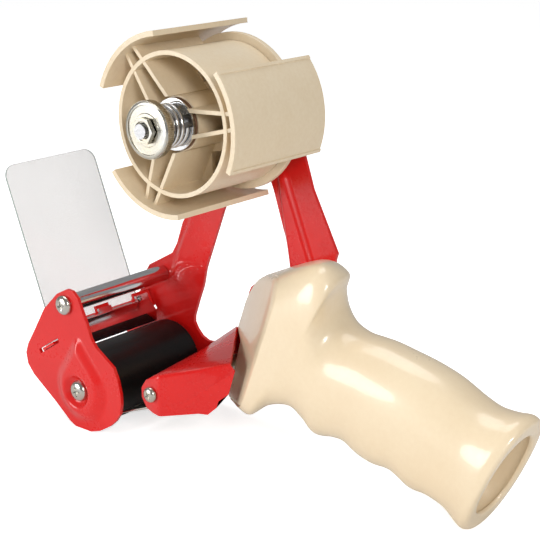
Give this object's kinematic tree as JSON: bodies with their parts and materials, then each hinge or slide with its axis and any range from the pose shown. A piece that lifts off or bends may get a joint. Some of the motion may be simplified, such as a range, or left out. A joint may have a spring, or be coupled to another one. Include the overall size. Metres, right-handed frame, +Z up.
{
  "type": "packing tape dispenser",
  "caption": "Hand-held packing tape dispenser: spinning tape reel with a knurled drag nut, nose with roller, guide rod, toothed blade and clear flap, on a sheet frame with a hollow pistol grip.",
  "frame": {"origin": "middle of the object's outline on the surface it stands on", "axes": "+Z up, +X from the cutting nose to the open end of the grip, +Y from the open side with the drag nut to the frame plate; the reel's axle runs along Y"},
  "size_m": [0.2596, 0.08, 0.1809],
  "materials": {
    "red_paint": "gloss red powder coat",
    "cream_plastic": "gloss cream moulding",
    "reel_plastic": "satin beige moulding",
    "black_rubber": "satin",
    "dark_plastic": "matt",
    "chrome": "polished",
    "zinc": "bright zinc plate",
    "steel": "bright",
    "brown_fibre": "matt",
    "clear_plastic": "clear"
  },
  "bodies": {
    "frame": {"axle_bolt": "steel", "axle_spacer": "zinc", "axle_washer": "zinc", "back_flange": "reel_plastic", "blade_nut_1": "zinc", "blade_nut_2": "zinc", "blade_screw_1": "zinc", "blade_screw_2": "zinc", "bracket_rivet_1": "steel", "bracket_rivet_2": "steel", "bracket_screw_1": "zinc", "bracket_screw_2": "zinc", "bracket_spacer": "zinc", "cutting_blade": "steel", "drag_spring": "chrome", "flap_tail": "clear_plastic", "friction_washer": "brown_fibre", "guide_rod": "chrome", "handle_grip": "cream_plastic", "handle_screw_1": "zinc", "handle_screw_2": "zinc", "handle_screw_3": "zinc", "near_cheek": "red_paint", "nose_bridge": "red_paint", "pressure_washer": "chrome", "rear_bracket": "red_paint", "rod_screw_1": "zinc", "rod_screw_2": "zinc", "roller_axle": "zinc", "roller_guard": "zinc", "roller_screw_1": "zinc", "roller_screw_2": "zinc", "side_frame": "red_paint", "stripper_rivet_1": "steel", "stripper_rivet_2": "steel", "tape_stripper": "chrome"},
    "reel": {"reel_core": "reel_plastic", "reel_bush": "dark_plastic"},
    "roller": {"roller_sleeve": "black_rubber", "roller_core": "dark_plastic"},
    "flap": {"wiper_flap": "clear_plastic"},
    "brake_seat": {"spring_seat": "zinc"},
    "thumb_nut": {"thumb_wheel": "zinc", "wheel_insert": "zinc"}
  },
  "joints": [
    {"name": "reel_spin", "type": "hinge", "parent": "frame", "child": "reel", "pos_m": [-0.02678, 0.0018, 0.1432], "axis": [0, 1, 0], "continuous": true},
    {"name": "roller_spin", "type": "hinge", "parent": "frame", "child": "roller", "pos_m": [-0.07888, 0.0018, 0.0182], "axis": [0, 1, 0], "continuous": true},
    {"name": "flap_flex", "type": "hinge", "parent": "frame", "child": "flap", "pos_m": [-0.09941, 0.0018, 0.03588], "axis": [0, 1, 0], "range_deg": [-15, 15], "stiffness_Nm_per_rad": 0.2},
    {"name": "brake_seat_slide", "type": "slide", "parent": "frame", "child": "brake_seat", "axis": [0, 1, 0], "range_m": [-0.001, 0.002], "deforming": ["drag_spring"]},
    {"name": "thumb_nut_turn", "type": "hinge", "parent": "brake_seat", "child": "thumb_nut", "pos_m": [-0.02678, 0.0018, 0.1432], "axis": [0, 1, 0], "range_deg": [-360, 720]}
  ],
  "couplings": [
    {"joint": "thumb_nut_turn", "follows": "brake_seat_slide", "rad_per_m": 6283.2}
  ]
}
